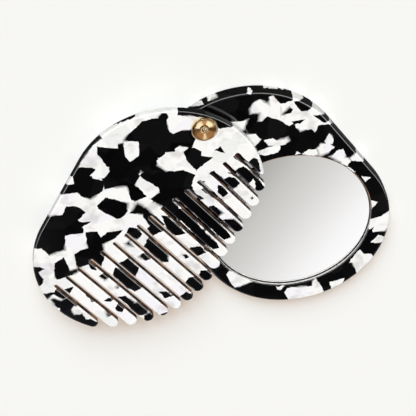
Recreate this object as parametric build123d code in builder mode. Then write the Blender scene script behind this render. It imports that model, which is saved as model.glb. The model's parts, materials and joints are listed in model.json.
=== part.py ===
from build123d import *

import os

# Pocket mirror with comb: two acetate plates of one outline that turn on a brass rivet.
#
# Millimetres. The mirror plate lies on its flat back at z = 0, with the middle of its mirror on
# the Z axis. The comb plate lies above it and is turned open about the rivet. Seen from above,
# the rivet is at the top, the comb hangs down to the left of it and the mirror plate down to
# the right.

# Outline of both plates: two round ends joined by straight flanks
big_radius = 31.7  # round end round the mirror
small_radius = 30.7  # round end at the rivet
arc_spacing = 28.0  # between the centres of the two round ends
pivot_inset = 4.55  # from the rivet's axis to the edge of the small end
edge_bevel = 0.5  # eased edges of the plates and teeth
opening_angle = 59.6  # between the two plates' long axes, degrees

# Mirror plate
mirror_plate_thickness = 4.6
mirror_shift = 2.5  # from the centre of the big end towards the rivet
recess_radius = 26.7
recess_depth = 2.8
recess_lip_bevel = 0.3

# Mirror glass and the tape that holds it
glass_clearance = 0.15
glass_thickness = 1.3
glass_bevel = 0.25  # ground edge of the glass
tape_thickness = 0.3
tape_margin = 1.2  # the tape stays this far inside the glass

# Comb plate
comb_thickness = 2.5
root_angle = 25.9  # between the plate's long axis and the row of tooth roots, degrees
root_line = 14.8  # from the rivet's axis to the ends of the slots
tooth_pitch = 5.0
slot_width = 1.15
first_slot = -1.1  # along the row of roots, from the rivet's axis to the first slot
tip_drop = 5.7  # the curve of the tips has its centres this much nearer the roots than the outline
tip_inset_big = 3.9  # tips to outline at the crown of the big end
tip_inset_small = 2.1  # the same at the small end
near_guard_round = 0.8  # tip of the outer tooth beside the rivet
far_guard_round = 1.6  # tip of the outer tooth at the far end

# Rivet: a tubular post from the back, and a dished cap whose pin is pressed into it
post_radius = 1.6
post_wall = 0.6
post_floor = 1.2  # solid end of the tube, above the flange's face
flange_radius = 3.0
flange_thickness = 0.7
flange_sink = 0.1  # the flange lies this much inside the back
flange_clearance = 0.15
flange_bevel = 0.2
cap_radius = 4.1
cap_rim_height = 0.8
cap_rim_width = 0.3
cap_edge_bevel = 0.2
cap_dish_depth = 0.4
cap_nub_radius = 1.4
cap_nub_height = 0.35  # above the bottom of the dish
cap_nub_round = 0.25
cap_dimple_radius = 0.45
cap_dimple_depth = 0.15
pin_length = 3.2
pin_clearance = 0.02
seat_clearance = 0.03  # post in the mirror plate, which it does not turn in
running_clearance = 0.06  # post in the comb, which turns on it

# Washers on each side of the comb
spacer_radius = 3.6
spacer_thickness = 1.0
cap_washer_radius = 3.7
cap_washer_thickness = 0.3
running_gap = 0.05  # left above and below the comb, so that it turns

# Centres of the round ends and of the mirror, along the plate's axis from the rivet
small_centre = small_radius - pivot_inset
big_centre = small_centre + arc_spacing
mirror_centre = big_centre - mirror_shift

# Heights
recess_floor_z = mirror_plate_thickness - recess_depth
glass_z = recess_floor_z + tape_thickness
comb_z = mirror_plate_thickness + spacer_thickness + running_gap
cap_washer_z = comb_z + comb_thickness + running_gap
cap_z = cap_washer_z + cap_washer_thickness
flange_seat = flange_sink + flange_thickness

# Directions seen from above: the plates hang to each side of straight down
mirror_axis_angle = 270 + opening_angle / 2
comb_axis_angle = 270 - opening_angle / 2
pivot = Vector(-mirror_centre, 0).rotate(Axis.Z, mirror_axis_angle)

# Working planes whose origin is the rivet's axis
mirror_frame = Plane(
    origin=(pivot.X, pivot.Y, 0),
    x_dir=Vector(1, 0).rotate(Axis.Z, mirror_axis_angle),
    z_dir=(0, 0, 1),
)
teeth_frame = Plane(
    origin=(pivot.X, pivot.Y, comb_z),
    x_dir=Vector(1, 0).rotate(Axis.Z, comb_axis_angle - root_angle),
    z_dir=(0, 0, 1),
)
back_frame = Plane(origin=(pivot.X, pivot.Y, 0), x_dir=(1, 0, 0), z_dir=(0, 0, -1))
rivet_section = Plane(origin=(pivot.X, pivot.Y, 0), x_dir=(1, 0, 0), z_dir=(0, -1, 0))
rivet_axis = Axis((pivot.X, pivot.Y, 0), (0, 0, 1))


def round_ends(axis_angle: float, drop: float, small: float, big: float) -> None:
    """Draw two circles on the plate's long axis, lowered by drop, and the hull round them."""
    with Locations(Vector(small_centre, 0).rotate(Axis.Z, axis_angle) - Vector(0, drop)):
        Circle(small)
    with Locations(Vector(big_centre, 0).rotate(Axis.Z, axis_angle) - Vector(0, drop)):
        Circle(big)
    make_hull()


def washer(bottom_z: float, radius: float) -> BuildSketch:
    """Draw a washer's ring round the post at a height."""
    with BuildSketch(mirror_frame.offset(bottom_z)) as ring:
        Circle(radius)
        Circle(post_radius + running_clearance, mode=Mode.SUBTRACT)
    return ring


above_plate = 3 * big_radius  # further up the teeth than the plate reaches

# Curve that the tips of the teeth follow, in the plane of the teeth
with BuildSketch() as tip_guide:
    round_ends(
        root_angle,
        tip_drop,
        small_radius + tip_drop - tip_inset_small,
        big_radius + tip_drop - tip_inset_big,
    )


def tip_height(x: float) -> float:
    """Distance from the rivet's axis to the tip guide, measured along the tooth at x."""
    ruler = Edge.make_line((x, 0), (x, above_plate))
    crossing = ruler.intersect(tip_guide.sketch.face())
    return crossing.vertices().sort_by(Axis.Y)[-1].Y


# Slots of the comb, as many as leave the far outer tooth at least as wide as the teeth between them
tooth_width = tooth_pitch - slot_width
far_edge = Vector(big_centre, 0).rotate(Axis.Z, root_angle).X + big_radius
slot_room = far_edge - tooth_width - slot_width / 2 - first_slot
slot_places = [first_slot + i * tooth_pitch for i in range(1 + int(slot_room / tooth_pitch))]
tooth_places = [x + tooth_pitch / 2 for x in slot_places[:-1]]
slot_shoulder = root_line + slot_width / 2
band_start = slot_places[0] - slot_width / 2
band_end = slot_places[-1] + slot_width / 2

with BuildPart() as comb_plate:
    with BuildSketch(teeth_frame) as comb_profile:
        round_ends(root_angle, 0, small_radius, big_radius)
        # The band of the teeth is cut away, which leaves the two outer teeth
        with Locations((band_start, slot_shoulder)):
            Rectangle(
                band_end - band_start,
                above_plate,
                align=(Align.MIN, Align.MIN),
                mode=Mode.SUBTRACT,
            )
        for side, tip_round in ((band_start, near_guard_round), (band_end, far_guard_round)):
            tip = comb_profile.vertices().sort_by_distance((side, above_plate))[0]
            fillet(tip, tip_round)
        # Round ends of the slots
        with Locations(*[(x, slot_shoulder) for x in slot_places]):
            Circle(slot_width / 2, mode=Mode.SUBTRACT)
        # Round-tipped teeth
        for x in tooth_places:
            tip_centre = tip_height(x) - tooth_width / 2
            with Locations((x, slot_shoulder)):
                Rectangle(tooth_width, tip_centre - slot_shoulder, align=(Align.CENTER, Align.MIN))
            with Locations((x, tip_centre)):
                Circle(tooth_width / 2)
    extrude(amount=comb_thickness)
    comb_faces = comb_plate.faces().filter_by(Axis.Z).sort_by(Axis.Z)
    comb_edges = comb_faces[0].outer_wire().edges() + comb_faces[-1].outer_wire().edges()
    chamfer(comb_edges, edge_bevel)
    with Locations(teeth_frame):
        Hole(post_radius + running_clearance)

with BuildPart() as mirror_plate:
    with BuildSketch(mirror_frame):
        round_ends(0, 0, small_radius, big_radius)
    extrude(amount=mirror_plate_thickness)
    plate_faces = mirror_plate.faces().filter_by(Axis.Z).sort_by(Axis.Z)
    plate_edges = plate_faces[0].outer_wire().edges() + plate_faces[-1].outer_wire().edges()
    chamfer(plate_edges, edge_bevel)
    with BuildSketch(Plane.XY.offset(mirror_plate_thickness)):
        Circle(recess_radius)
    extrude(amount=-recess_depth, mode=Mode.SUBTRACT)
    chamfer(mirror_plate.faces().sort_by(Axis.Z)[-1].inner_wires()[0].edges(), recess_lip_bevel)
    with Locations(back_frame):
        CounterBoreHole(
            radius=post_radius + seat_clearance,
            counter_bore_radius=flange_radius + flange_clearance,
            counter_bore_depth=flange_seat,
        )

# Mirror glass with its ground edge, and the tape under it
glass_radius = recess_radius - glass_clearance
with BuildPart() as mirror_glass:
    with BuildSketch(Plane.XY.offset(glass_z)):
        Circle(glass_radius)
    extrude(amount=glass_thickness)
    chamfer(mirror_glass.faces().sort_by(Axis.Z)[-1].edges(), glass_bevel)

with BuildPart() as mirror_tape:
    with BuildSketch(Plane.XY.offset(recess_floor_z)):
        Circle(glass_radius - tape_margin)
    extrude(amount=tape_thickness)

# Washers below and above the comb
with BuildPart() as spacer_washer:
    add(washer(mirror_plate_thickness, spacer_radius).sketch)
    extrude(amount=spacer_thickness)

with BuildPart() as cap_washer:
    add(washer(cap_washer_z, cap_washer_radius).sketch)
    extrude(amount=cap_washer_thickness)

# Tubular post with its flange let into the back
tube_radius = post_radius - post_wall
with BuildPart() as rivet_post:
    with BuildSketch(rivet_section):
        with BuildLine():
            Polyline(
                (0, flange_sink),
                (flange_radius, flange_sink),
                (flange_radius, flange_seat),
                (post_radius, flange_seat),
                (post_radius, cap_z),
                (tube_radius, cap_z),
                (tube_radius, flange_seat + post_floor),
                (0, flange_seat + post_floor),
                close=True,
            )
        make_face()
    revolve(axis=rivet_axis)
    chamfer(rivet_post.faces().sort_by(Axis.Z)[0].edges(), flange_bevel)

# Dished cap with a raised middle, and the pin that is pressed into the post
pin_radius = tube_radius - pin_clearance
rim_z = cap_z + cap_rim_height
dish_z = rim_z - cap_dish_depth
nub_z = dish_z + cap_nub_height
with BuildPart() as rivet_cap:
    with BuildSketch(rivet_section) as cap_profile:
        with BuildLine():
            Polyline(
                (0, cap_z - pin_length),
                (pin_radius, cap_z - pin_length),
                (pin_radius, cap_z),
                (cap_radius, cap_z),
                (cap_radius, rim_z),
                (cap_radius - cap_rim_width, rim_z),
                (cap_nub_radius, dish_z),
                (cap_nub_radius - cap_nub_round, nub_z),
                (cap_dimple_radius, nub_z),
                (0, nub_z - cap_dimple_depth),
                close=True,
            )
        make_face()
    revolve(axis=rivet_axis)
    widest = rivet_cap.edges().filter_by(GeomType.CIRCLE).group_by(SortBy.RADIUS)[-1]
    chamfer(widest.sort_by(Axis.Z)[-1], cap_edge_bevel)

pieces = {
    "mirror_plate": mirror_plate,
    "mirror_tape": mirror_tape,
    "mirror_glass": mirror_glass,
    "rivet_post": rivet_post,
    "spacer_washer": spacer_washer,
    "comb_plate": comb_plate,
    "cap_washer": cap_washer,
    "rivet_cap": rivet_cap,
}

os.makedirs("parts", exist_ok=True)
for name, piece in pieces.items():
    piece.part.label = name
    export_step(piece.part, f"parts/{name}.step")
    print(name, round(piece.part.volume, 1), "mm3")
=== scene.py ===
import json
import logging
import math
from collections.abc import Callable, Sequence
from dataclasses import dataclass, field
from enum import Enum, IntEnum

import bpy
from bpy.types import Material, Node, NodeSocket, NodeTree, Object
from mathutils import Matrix, Vector


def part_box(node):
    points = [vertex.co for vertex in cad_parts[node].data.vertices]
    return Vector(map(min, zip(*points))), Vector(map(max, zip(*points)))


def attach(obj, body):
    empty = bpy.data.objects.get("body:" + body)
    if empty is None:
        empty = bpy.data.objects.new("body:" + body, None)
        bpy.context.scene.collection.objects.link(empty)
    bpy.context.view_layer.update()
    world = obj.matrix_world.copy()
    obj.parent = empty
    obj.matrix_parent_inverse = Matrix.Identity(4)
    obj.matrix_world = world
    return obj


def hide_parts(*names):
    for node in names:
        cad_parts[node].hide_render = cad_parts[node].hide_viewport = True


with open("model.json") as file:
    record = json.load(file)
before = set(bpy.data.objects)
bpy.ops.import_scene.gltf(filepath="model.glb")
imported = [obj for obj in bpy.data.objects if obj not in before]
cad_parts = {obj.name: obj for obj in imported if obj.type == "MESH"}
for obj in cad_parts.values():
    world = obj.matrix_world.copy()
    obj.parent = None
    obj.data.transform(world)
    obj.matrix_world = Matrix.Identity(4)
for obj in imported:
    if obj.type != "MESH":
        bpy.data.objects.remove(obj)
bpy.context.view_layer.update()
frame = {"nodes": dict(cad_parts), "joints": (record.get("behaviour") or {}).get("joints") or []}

# Metres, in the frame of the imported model: the mirror's middle on the Z axis, the back at z = 0.
MM = 0.001
PIVOT = Vector(frame["joints"][0]["pos_m"])
TOUCH = 1e-6  # two places this close are the same
UP = Vector((0, 0, 1))
FAR = 200.0  # beyond any shard, millimetres
SHARDS_AT_ONCE = 8
LIMITS = ("From Min", "From Max", "To Min", "To Max")  # the ends that a MapRange node goes between
ACETATE_IOR = 1.475

Shades = Sequence[tuple[float, str]]  # a ramp's stops, each a place from 0 to 1 and a colour in hex
Shard = tuple[tuple[float, float], ...]  # the corners of a flat-sided shard, in order round it

log = logging.getLogger("pocket_mirror")


class Body(Enum):
    """The two halves that turn on the rivet."""

    MIRROR = "mirror_half"
    COMB = "comb_half"


class Shade(Enum):
    """The two colours of the slab."""

    BLACK = "black"
    WHITE = "white"


class Surface(IntEnum):
    """How a part of a plate is finished, in the order of the plate's materials."""

    POLISHED = 0
    SAWN = 1
    MILLED = 2


def linear(code: str) -> tuple[float, float, float, float]:
    """Turn a colour as written for a screen into the linear values that a shader takes.

    Args:
        code: Hex digits, as in "f4f3f0".

    Returns:
        Red, green, blue and an alpha of 1.
    """
    shares = [int(code[i : i + 2], 16) / 255 for i in (0, 2, 4)]
    red, green, blue = [s / 12.92 if s <= 0.04045 else ((s + 0.055) / 1.055) ** 2.4 for s in shares]
    return red, green, blue, 1.0


def add_node(tree: NodeTree, kind: str, inputs: dict | None = None, **settings) -> Node:
    """Add a node to a tree with its settings, values and links.

    Args:
        tree: The tree that takes the node.
        kind: The node's type name, without the ShaderNode that it starts with.
        inputs: Each input's name or number, with a value, the socket that feeds it, or the node
            whose first output in use feeds it.
        settings: Properties of the node itself.

    Returns:
        The new node.
    """
    node = tree.nodes.new("ShaderNode" + kind)
    for name, value in settings.items():
        setattr(node, name, value)
    for key, value in (inputs or {}).items():
        taken = next(s for i, s in enumerate(node.inputs) if key in (i, s.name) and s.enabled)
        if isinstance(value, Node):
            value = next(s for s in value.outputs if s.enabled)
        if isinstance(value, NodeSocket):
            tree.links.new(value, taken)
        else:
            taken.default_value = value
    return node


def new_tree(name: str) -> tuple[Material, NodeTree]:
    """Start a material with an empty node tree.

    Args:
        name: The material's name.

    Returns:
        The material and its tree.
    """
    material = bpy.data.materials.new(name)
    material.use_nodes = True
    material.node_tree.nodes.clear()
    return material, material.node_tree


def mm_coordinates(tree: NodeTree) -> Node:
    """Add nodes that give the place on the piece in millimetres, and return the last."""
    place = add_node(tree, "TexCoord").outputs["Object"]
    return add_node(tree, "VectorMath", {0: place, "Scale": 1 / MM}, operation="SCALE")


def set_stops(ramp: Node, stops: Shades, interpolation: str = "LINEAR") -> None:
    """Give a colour ramp its stops.

    Args:
        ramp: The ramp node.
        stops: Its stops.
        interpolation: How the ramp goes from stop to stop.
    """
    band = ramp.color_ramp
    band.interpolation = interpolation
    while len(band.elements) < len(stops):
        band.elements.new(1.0)
    for element, (place, code) in zip(band.elements, stops):
        element.position = place
        element.color = linear(code)


# Finishes


@dataclass(frozen=True)
class Finish:
    """A material, to which each kind of finish adds the nodes of its own look."""

    name: str

    def shader(self, tree: NodeTree) -> Node:
        """Add the nodes of the finish to a tree and return its shader node."""
        raise NotImplementedError

    def build(self) -> Material:
        """Make the material.

        Returns:
            The material, with its nodes.
        """
        material, tree = new_tree(self.name)
        add_node(tree, "OutputMaterial", {"Surface": self.shader(tree)})
        return material


@dataclass(frozen=True)
class PolishedAcetate(Finish):
    """Polished cellulose acetate with black and white shards.

    The slab is pressed from cut chips, sawn to a sheet and tumbled in polish. That gives flat-sided
    shards with crisp corners that go through the sheet, a few soft edges where one shard dips
    under another, faintly different whites, and a gloss with a slow waviness from the tumbling.
    The shards that show are laid one by one in layers, and the rest fall at random. Lengths here
    are in millimetres.
    """

    layers: tuple[tuple[Shade, tuple[Shard, ...]], ...]  # from the lowest to the topmost
    black_share: float  # of the shards that fall at random
    top: float  # height of the sheet's upper face
    lean: float = 0.4  # how far a shard leans towards -Y for each millimetre down
    chip: float = 6.0  # usual size of a random shard
    bends: tuple[tuple[float, float], ...] = ((6.0, 1.0), (1.3, 0.5))  # each one's length and depth
    facet: float = 2.4  # straight length in a shard's side
    facet_share: float = 0.1  # how straight it is, up to 1
    dip: float = 7.0  # spacing of the soft edges
    dips: tuple[float, float] = (0.58, 0.7)  # where the noise starts and ends to soften an edge
    soft: tuple[float, float] = (0.05, 0.55)  # half the width of a crisp edge and of a soft one
    black_spread: float = 0.2  # how far a black shard bleeds under the white round it
    whites: Shades = (
        (0.0, "f7f7f5"), (0.5, "f4f4f2"), (0.66, "f3f2f5"), (0.78, "edeeec"), (0.86, "f6f6f3"),
    )
    blacks: Shades = ((0.0, "070708"), (0.6, "0b0b0c"), (1.0, "131314"))
    haze: str = "bfbcb9"
    haze_size: float = 5.0
    haze_limits: tuple[float, float] = (0.53, 0.7)  # where the noise starts and ends to thin a shard
    haze_share: float = 0.5
    wave: float = 7.0  # length of the waves that tumbling leaves
    wave_depth: float = 0.02
    wave_share: float = 0.25
    roughness: float = 0.06

    def reach(self, tree: NodeTree, place: Node, shards: tuple[Shard, ...]) -> Node:
        """Add nodes for how far a place is outside the nearest shard.

        Args:
            tree: The material's tree.
            place: The place on the sheet.
            shards: The shards.

        Returns:
            The last node, which gives millimetres beyond the shard's edge, below 0 inside it.
        """
        parts = add_node(tree, "SeparateXYZ", {0: place}).outputs
        nearest: Node | float = FAR
        for count, corners in enumerate(shards):
            if count % SHARDS_AT_ONCE == 0:
                # A shader has little room, so each handful of shards waits for the one before.
                # This height is 1 whatever that one gave, and it carries each side's offset.
                height = add_node(tree, "Math", {0: nearest, 1: -FAR}, operation="GREATER_THAN")
                spot = add_node(tree, "CombineXYZ", {0: parts["X"], 1: parts["Y"], 2: height})
            middle = sum((Vector(corner) for corner in corners), Vector((0, 0))) / len(corners)
            outside: Node | None = None
            for start, end in zip(corners, corners[1:] + corners[:1]):
                along = (Vector(end) - Vector(start)).normalized()
                out = Vector((along.y, -along.x))
                out *= math.copysign(1, out.dot(Vector(start) - middle))
                side = (out.x, out.y, -out.dot(Vector(start)))
                beyond = add_node(tree, "VectorMath", {0: spot, 1: side}, operation="DOT_PRODUCT")
                if outside is not None:
                    beyond = add_node(tree, "Math", {0: outside, 1: beyond}, operation="MAXIMUM")
                outside = beyond
            nearest = add_node(tree, "Math", {0: outside, 1: nearest}, operation="MINIMUM")
        return nearest

    def bent(self, tree: NodeTree, sheet: Node) -> Node:
        """Add nodes that slant and bend the shards.

        Args:
            tree: The material's tree.
            sheet: The place in the sheet.

        Returns:
            The last node, which gives the place that the shards are drawn by.
        """
        # Shards go down through the sheet at a slant
        height = add_node(tree, "SeparateXYZ", {0: sheet}).outputs["Z"]
        depth = add_node(tree, "Math", {0: self.top, 1: height}, operation="SUBTRACT")
        slant = add_node(tree, "Math", {0: depth, 1: self.lean}, operation="MULTIPLY")
        place = add_node(tree, "VectorMath", {0: sheet, 1: add_node(tree, "CombineXYZ", {"Y": slant})})
        # They bend a little where the slab flowed under the press
        for size, sway in self.bends:
            noise = add_node(tree, "TexNoise", {"Vector": sheet, "Scale": 1 / size, "Detail": 1.0})
            centred = {0: noise.outputs["Color"], 1: (0.5, 0.5, 0.5)}
            offset = add_node(tree, "VectorMath", centred, operation="SUBTRACT")
            swayed = add_node(tree, "VectorMath", {0: offset, "Scale": sway}, operation="SCALE")
            place = add_node(tree, "VectorMath", {0: place, 1: swayed})
        return place

    def darkness(self, tree: NodeTree, sheet: Node, place: Node, draw: Node) -> Node:
        """Add nodes that lay the shards over the random ones.

        Args:
            tree: The material's tree.
            sheet: The place in the sheet.
            place: The same place, bent.
            draw: Random numbers for each random shard.

        Returns:
            The last node, which gives 1 in black and 0 in white.
        """
        # A shard's sides break into short straight lengths
        facets = add_node(tree, "TexVoronoi", {"Vector": place, "Scale": 1 / self.facet})
        pulled = {"Factor": self.facet_share, "A": place, "B": facets.outputs["Position"]}
        broken = add_node(tree, "Mix", pulled, data_type="VECTOR")
        # Some edges are soft, where a shard dips under its neighbour
        dip = add_node(tree, "TexNoise", {"Vector": sheet, "Scale": 1 / self.dip, "Detail": 0.0})
        softness = add_node(tree, "MapRange", {"Value": dip} | dict(zip(LIMITS, self.dips + self.soft)))
        inner = add_node(tree, "Math", {0: softness, 1: -1.0}, operation="MULTIPLY")
        chance = {0: draw.outputs["Red"], 1: self.black_share}
        dark = add_node(tree, "Math", chance, operation="LESS_THAN")
        for shade, shards in self.layers:
            black = shade is Shade.BLACK
            spread = self.black_spread if black else 0.0
            ends = (add_node(tree, "Math", {0: limit, 1: spread}) for limit in (inner, softness))
            limits = dict(zip(LIMITS, (*ends, float(black), float(not black))))
            reach = self.reach(tree, broken, shards)
            cover = add_node(tree, "MapRange", {"Value": reach} | limits)
            dark = add_node(tree, "Math", {0: dark, 1: cover}, operation="MAXIMUM" if black else "MINIMUM")
        return dark

    def shader(self, tree: NodeTree) -> Node:
        """Add the nodes of the finish.

        Args:
            tree: The material's tree.

        Returns:
            The shader node.
        """
        sheet = mm_coordinates(tree)
        place = self.bent(tree, sheet)
        chips = add_node(tree, "TexVoronoi", {"Vector": place, "Scale": 1 / self.chip})
        draw = add_node(tree, "SeparateColor", {"Color": chips.outputs["Color"]})
        dark = self.darkness(tree, sheet, place, draw)
        # Whites differ a little from shard to shard, and grey shows through where one is thin
        white = add_node(tree, "ValToRGB", {"Fac": draw.outputs["Green"]})
        set_stops(white, self.whites, "CONSTANT")
        cloud = add_node(tree, "TexNoise", {"Vector": place, "Scale": 1 / self.haze_size, "Detail": 2.0})
        limits = dict(zip(LIMITS, (*self.haze_limits, 0.0, self.haze_share)))
        thin = add_node(tree, "MapRange", {"Value": cloud} | limits)
        veil = {"Factor": thin, "A": white, "B": linear(self.haze)}
        hazed = add_node(tree, "Mix", veil, data_type="RGBA")
        black = add_node(tree, "ValToRGB", {"Fac": draw.outputs["Blue"]})
        set_stops(black, self.blacks)
        colour = add_node(tree, "Mix", {"Factor": dark, "A": hazed, "B": black}, data_type="RGBA")
        wave = add_node(tree, "TexNoise", {"Vector": sheet, "Scale": 1 / self.wave, "Detail": 1.0})
        waves = {"Height": wave, "Strength": self.wave_share, "Distance": self.wave_depth * MM}
        gloss = {"Roughness": self.roughness, "IOR": ACETATE_IOR, "Normal": add_node(tree, "Bump", waves)}
        return add_node(tree, "BsdfPrincipled", {"Base Color": colour} | gloss)


@dataclass(frozen=True)
class MattePlastic(Finish):
    """Plastic with a dull face, for the nylon washers and the tape: a faint mottle and no gloss."""

    shades: Shades
    roughness: float
    ior: float = 1.5
    drift: float = 1.2  # spacing of the drift, millimetres

    def shader(self, tree: NodeTree) -> Node:
        """Add the nodes of the finish.

        Args:
            tree: The material's tree.

        Returns:
            The shader node.
        """
        place = mm_coordinates(tree)
        cloud = add_node(tree, "TexNoise", {"Vector": place, "Scale": 1 / self.drift, "Detail": 3.0})
        colour = add_node(tree, "ValToRGB", {"Fac": cloud})
        set_stops(colour, self.shades)
        look = {"Base Color": colour, "Roughness": self.roughness, "IOR": self.ior}
        return add_node(tree, "BsdfPrincipled", look)


@dataclass(frozen=True)
class SawnAcetatePaintedGlow(MattePlastic):
    """Acetate as the saw leaves it in the slots and on the recess's lip.

    These faces are only wiped with polish, so they are duller. Their warm brown is painted light: the glow
    of light getting into the thin edge, painted on the whole face, over white shards too.
    """

    name: str = "sawn_acetate_painted_glow"
    # painted glow: warm browns for light coming through the thin edge
    shades: Shades = ((0.36, "180b04"), (0.47, "40250f"), (0.57, "744a2b"), (0.69, "b78f6c"))
    roughness: float = 0.55
    ior: float = ACETATE_IOR
    drift: float = 4.0


@dataclass(frozen=True)
class MilledAcetatePaintedLight(Finish):
    """Acetate as the cutter leaves it in the recess, matte from the tool's fine marks, and painted pale all
    round, over black shards too, as a painted reflection.

    The lowest part of the wall, along the glass, is painted dark as shade. Lengths here are in millimetres.
    """

    glass_top: float
    rise: float = 0.25  # how far the painted shade reaches above the glass
    edge: float = 0.02  # half the width of its upper edge
    # the colour of the painted shade at the wall's foot
    painted_shade: str = "0d0c0c"
    # pale everywhere, over black shards too: a matte wall with a painted reflection
    frost_and_sheen: Shades = ((0.35, "e2e0dc"), (0.65, "f6f4f1"))
    marks: float = 2.5  # spacing of the drift in the frost
    roughness: float = 0.6

    def shader(self, tree: NodeTree) -> Node:
        """Add the nodes of the finish.

        Args:
            tree: The material's tree.

        Returns:
            The shader node.
        """
        place = mm_coordinates(tree)
        marks = add_node(tree, "TexNoise", {"Vector": place, "Scale": 1 / self.marks, "Detail": 4.0})
        frost_and_sheen_ramp = add_node(tree, "ValToRGB", {"Fac": marks})
        set_stops(frost_and_sheen_ramp, self.frost_and_sheen)
        # Painted shade: dark up to a little above the glass, with the pale wall above it
        height = add_node(tree, "SeparateXYZ", {0: place}).outputs["Z"]
        top = self.glass_top + self.rise
        limits = {"From Min": top - self.edge, "From Max": top + self.edge}
        above_shade = add_node(tree, "MapRange", {"Value": height} | limits)
        # painted shade below, pale wall above
        filled = {"Factor": above_shade, "A": linear(self.painted_shade), "B": frost_and_sheen_ramp}
        colour = add_node(tree, "Mix", filled, data_type="RGBA")
        look = {"Base Color": colour, "Roughness": self.roughness, "IOR": ACETATE_IOR}
        return add_node(tree, "BsdfPrincipled", look)


@dataclass(frozen=True)
class TurnedBrass(Finish):
    """Turned and polished brass.

    The cap is turned on a lathe, which leaves fine rings that stretch each light into a fan from
    the middle. The rings are finer than the render shows, so they are given as anisotropy.
    """

    name: str = "turned_brass"
    colour: str = "e9c489"
    roughness: float = 0.09
    anisotropy: float = 0.3

    def shader(self, tree: NodeTree) -> Node:
        """Add the nodes of the finish.

        Args:
            tree: The material's tree.

        Returns:
            The shader node.
        """
        place = mm_coordinates(tree)
        arm = add_node(tree, "VectorMath", {0: place, 1: PIVOT / MM}, operation="SUBTRACT")
        ring = add_node(tree, "VectorMath", {0: UP, 1: arm}, operation="CROSS_PRODUCT")
        along = add_node(tree, "VectorMath", {0: ring}, operation="NORMALIZE")
        look = {"Base Color": linear(self.colour), "Metallic": 1.0, "Roughness": self.roughness}
        turned = {"Anisotropic": self.anisotropy, "Tangent": along}
        return add_node(tree, "BsdfPrincipled", look | turned)


@dataclass(frozen=True)
class SilveredGlass(Finish):
    """Silvered float glass with a ground edge: a clear reflection, and green-grey at the edge."""

    name: str = "silvered_glass"
    silver: str = "fafafa"
    roughness: float = 0.02
    ground: str = "6d7c76"
    ground_roughness: float = 0.25
    ior: float = 1.52
    level: float = 0.95  # a face whose normal's Z is above this is the clear face

    def shader(self, tree: NodeTree) -> Node:
        """Add the nodes of the finish.

        Args:
            tree: The material's tree.

        Returns:
            The shader node.
        """
        normal = add_node(tree, "NewGeometry").outputs["Normal"]
        height = add_node(tree, "SeparateXYZ", {0: normal}).outputs["Z"]
        face = add_node(tree, "Math", {0: height, 1: self.level}, operation="GREATER_THAN")
        ground = {"Base Color": linear(self.ground), "Roughness": self.ground_roughness, "IOR": self.ior}
        silver = {"Base Color": linear(self.silver), "Roughness": self.roughness, "Metallic": 1.0}
        edge = add_node(tree, "BsdfPrincipled", ground)
        clear = add_node(tree, "BsdfPrincipled", silver)
        return add_node(tree, "MixShader", {0: face, 1: edge, 2: clear})


# Modelling helpers


def flat(x: float, y: float) -> Vector:
    """A point in the plane that outlines are drawn in."""
    return Vector((x, y, 0))


def heading(angle: float) -> Vector:
    """The flat direction at an angle in degrees from +X."""
    return flat(math.cos(math.radians(angle)), math.sin(math.radians(angle)))


def angle_of(direction: Vector) -> float:
    """The angle of a flat direction from +X, degrees."""
    return math.degrees(math.atan2(direction.y, direction.x))


def arc_steps(radius: float, angle: float, sagitta: float = 0.004 * MM) -> int:
    """How many straight steps an arc of some degrees takes, if each stands off it by the sagitta."""
    step = 2 * math.acos(1 - sagitta / radius)
    return max(3, math.ceil(abs(math.radians(angle)) / step))


def select_only(piece: Object) -> None:
    """Leave edit mode, deselect everything and make one piece active.

    Args:
        piece: The piece.
    """
    if bpy.context.mode != "OBJECT":
        bpy.ops.object.mode_set(mode="OBJECT")
    bpy.ops.object.select_all(action="DESELECT")
    bpy.context.view_layer.objects.active = piece
    piece.select_set(True)


def round_edges(
    piece: Object, radius: float, steps: int, wanted: Callable[[Vector, Vector], bool]
) -> None:
    """Round some edges of a piece in edit mode.

    Args:
        piece: The mesh object.
        radius: Width of the rounding.
        steps: Faces across it.
        wanted: Says, from an edge's two ends, whether it is rounded.
    """
    select_only(piece)
    mesh = piece.data
    bpy.ops.object.mode_set(mode="EDIT")
    bpy.ops.mesh.select_mode(type="EDGE")
    bpy.ops.mesh.select_all(action="DESELECT")
    bpy.ops.object.mode_set(mode="OBJECT")
    for edge in mesh.edges:
        edge.select = wanted(*(mesh.vertices[i].co for i in edge.vertices))
    bpy.ops.object.mode_set(mode="EDIT")
    bpy.ops.mesh.bevel(offset=radius, segments=steps, profile=0.5, clamp_overlap=False)
    bpy.ops.object.mode_set(mode="OBJECT")


def cut_round(piece: Object, centre: Vector, radius: float, low: float, high: float) -> None:
    """Cut a round hole or recess along Z.

    Args:
        piece: The mesh object.
        centre: A point on the hole's axis.
        radius: The hole's radius.
        low: Lowest height of the cut.
        high: Highest height of the cut.
    """
    bpy.ops.object.select_all(action="DESELECT")
    bpy.ops.mesh.primitive_cylinder_add(
        vertices=arc_steps(radius, 360),
        radius=radius,
        depth=high - low,
        location=(centre.x, centre.y, (low + high) / 2),
    )
    cutter = bpy.context.active_object
    select_only(piece)
    cut = piece.modifiers.new("cut", "BOOLEAN")
    cut.operation = "DIFFERENCE"
    cut.object = cutter
    cut.solver = "EXACT"
    bpy.ops.object.modifier_apply(modifier=cut.name)
    bpy.data.objects.remove(cutter, do_unlink=True)


def finish_smooth(piece: Object, sharp: float = 40.0) -> None:
    """Shade a piece smooth, with its large faces kept flat.

    Args:
        piece: The mesh object.
        sharp: Edges sharper than this stay crisp, degrees.
    """
    select_only(piece)
    bpy.ops.object.shade_smooth_by_angle(angle=math.radians(sharp), keep_sharp_edges=False)
    weighted = piece.modifiers.new("flat_faces", "WEIGHTED_NORMAL")
    weighted.weight = 100
    weighted.keep_sharp = True
    bpy.ops.object.modifier_apply(modifier=weighted.name)


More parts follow.
